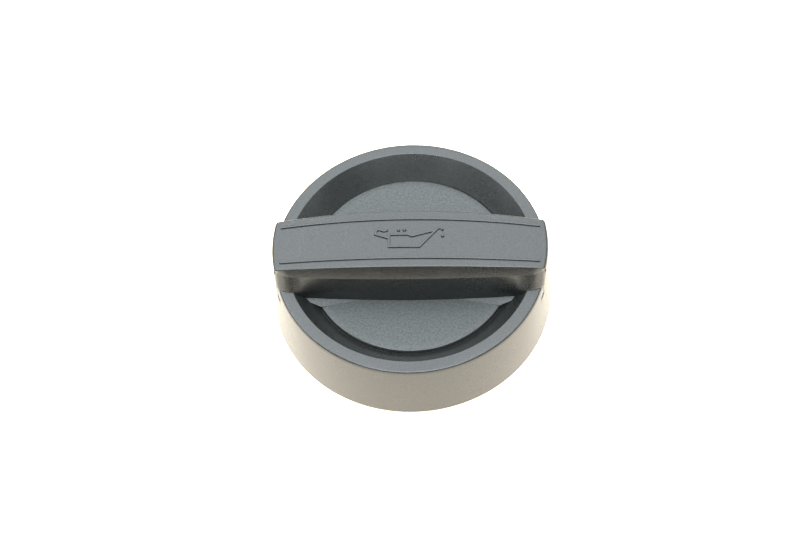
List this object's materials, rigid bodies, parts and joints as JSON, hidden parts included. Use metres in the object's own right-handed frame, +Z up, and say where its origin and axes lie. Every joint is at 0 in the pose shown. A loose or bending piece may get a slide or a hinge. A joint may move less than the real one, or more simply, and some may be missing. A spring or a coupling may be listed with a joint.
{
  "type": "oil filler cap",
  "caption": "Round black plastic oil filler cap with a raised grip bar, a sealing ring and a sprung bayonet plug underneath.",
  "frame": {"origin": "centre of the plane that the plug's nose stands on", "axes": "+Z up along the cap's axis, +X along the grip bar, +Y towards the far side of the bar"},
  "size_m": [0.0698, 0.0698, 0.0351],
  "materials": {
    "shell_plastic": "fine satin grain",
    "inner_plastic": "moulded, smooth",
    "seal_rubber": "matt",
    "spring_steel": "drawn wire",
    "zinc_steel": "zinc plated"
  },
  "bodies": {
    "cap": {"grip_shell": "shell_plastic", "closure_body": "inner_plastic", "seal_ring": "seal_rubber", "lock_spring": "spring_steel", "spring_washer": "zinc_steel", "retaining_screw": "zinc_steel"},
    "bayonet": {"bayonet_plug": "inner_plastic"}
  },
  "joints": [
    {"name": "bayonet_travel", "type": "slide", "parent": "cap", "child": "bayonet", "axis": [0, 0, -1], "range_m": [0, 0.002], "stiffness_N_per_m": 4000, "springref_m": -0.003, "deforming": ["lock_spring"]}
  ]
}
